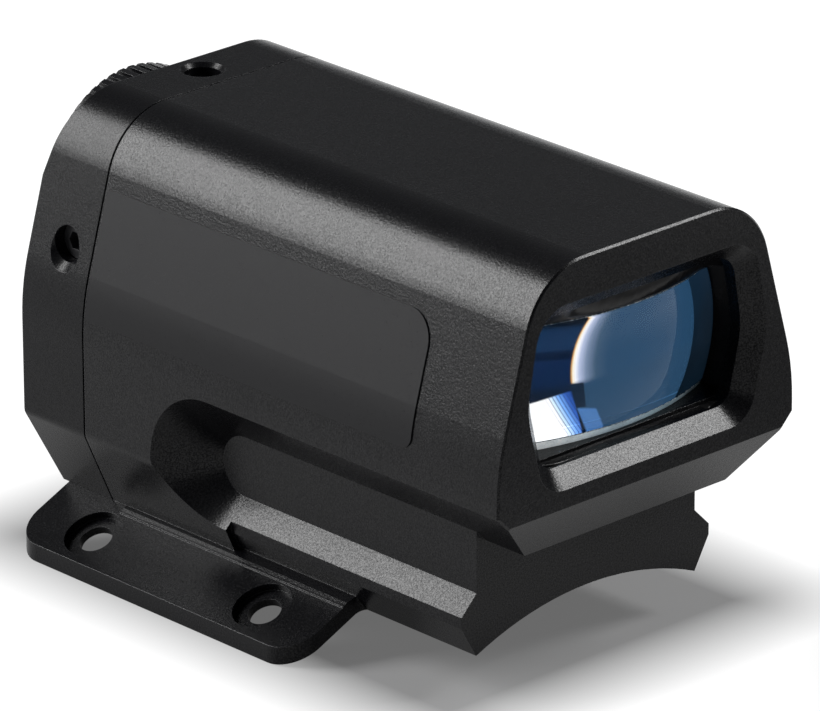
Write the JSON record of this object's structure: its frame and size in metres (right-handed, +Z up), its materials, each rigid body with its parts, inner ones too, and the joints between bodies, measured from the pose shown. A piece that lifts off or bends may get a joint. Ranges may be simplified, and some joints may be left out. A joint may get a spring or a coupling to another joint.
{
  "type": "infrared illuminator",
  "caption": "Boxy infrared illuminator with a lens in a wide window, a fluted focus knob at the rear, aiming screws, and a curved foot with screw flanges for a scope tube.",
  "frame": {"origin": "crown of the saddle under the foot, midway between the four flange screw holes", "axes": "+Z up from the tube, the light leaves along -Y, the focus knob is at +Y, +X is to the right seen from the front looking along +Y"},
  "size_m": [0.04, 0.0618, 0.0381],
  "materials": {
    "housing_black": "bead-blasted, black anodised",
    "cover_black": "fine satin, black anodised",
    "knob_black": "turned and fluted, black anodised",
    "screw_black": "black oxide",
    "lens_glass": "polished, blue coated",
    "sealant": "glossy black sealant",
    "seal_rubber": "matte rubber",
    "inner_black": "matte black anodised",
    "inner_steel": "bright",
    "brass": "machined",
    "sled_aluminium": "machined",
    "board": "green solder mask on glass fibre board",
    "emitter_dark": "dark clear dome",
    "socket_white": "moulded",
    "inductor_grey": "ferrite in resin",
    "chip_black": "moulded",
    "contact_plastic": "moulded",
    "contact_metal": "gold plated",
    "label_black": "satin printed film"
  },
  "bodies": {
    "body": {"housing": "housing_black", "rear_cover": "cover_black", "rear_gasket": "seal_rubber", "cover_screws": "screw_black", "lens": "lens_glass", "lens_seal": "sealant", "lens_retainer": "inner_black", "guide_plate": "inner_steel", "guide_plate_screws": "inner_steel", "driver_board": "board", "driver_inductor": "inductor_grey", "driver_chip": "chip_black", "driver_socket": "socket_white", "driver_board_screws": "inner_steel", "contact_block": "contact_plastic", "contact_pins": "contact_metal", "side_label": "label_black"},
    "elevation_drive": {"elevation_screw": "screw_black"},
    "elevation_slide": {"elevation_frame": "brass"},
    "windage_drive": {"windage_screw": "screw_black"},
    "windage_slide": {"windage_block": "brass", "guide_pins": "inner_steel"},
    "knob": {"focus_knob": "knob_black", "focus_spindle": "inner_steel", "spindle_clip": "inner_steel", "knob_seal": "seal_rubber", "knob_set_screw": "screw_black"},
    "sled": {"focus_sled": "sled_aluminium", "emitter_board": "board", "emitter": "emitter_dark", "emitter_socket": "socket_white", "emitter_board_screws": "inner_steel"}
  },
  "joints": [
    {"name": "elevation_adjust", "type": "slide", "parent": "body", "child": "elevation_slide", "axis": [0, 0, 1], "range_m": [-0.0005, 0.0005]},
    {"name": "elevation_screw_travel", "type": "slide", "parent": "body", "child": "elevation_drive", "axis": [0, 0, 1], "range_m": [-0.0005, 0.0005]},
    {"name": "windage_adjust", "type": "slide", "parent": "elevation_slide", "child": "windage_slide", "axis": [1, 0, 0], "range_m": [-0.0005, 0.0005]},
    {"name": "windage_screw_travel", "type": "slide", "parent": "body", "child": "windage_drive", "axis": [1, 0, 0], "range_m": [-0.0005, 0.0005]},
    {"name": "focus_turn", "type": "hinge", "parent": "windage_slide", "child": "knob", "pos_m": [0, 0.0221, 0.02065], "axis": [0, 1, 0], "range_deg": [-165, 165]},
    {"name": "focus_travel", "type": "slide", "parent": "windage_slide", "child": "sled", "axis": [0, 1, 0], "range_m": [-0.00183, 0.00183]}
  ],
  "couplings": [
    {"joint": "elevation_screw_travel", "follows": "elevation_adjust", "ratio": 1},
    {"joint": "windage_screw_travel", "follows": "windage_adjust", "ratio": 1},
    {"joint": "focus_turn", "follows": "focus_travel", "rad_per_m": 1570.8}
  ]
}
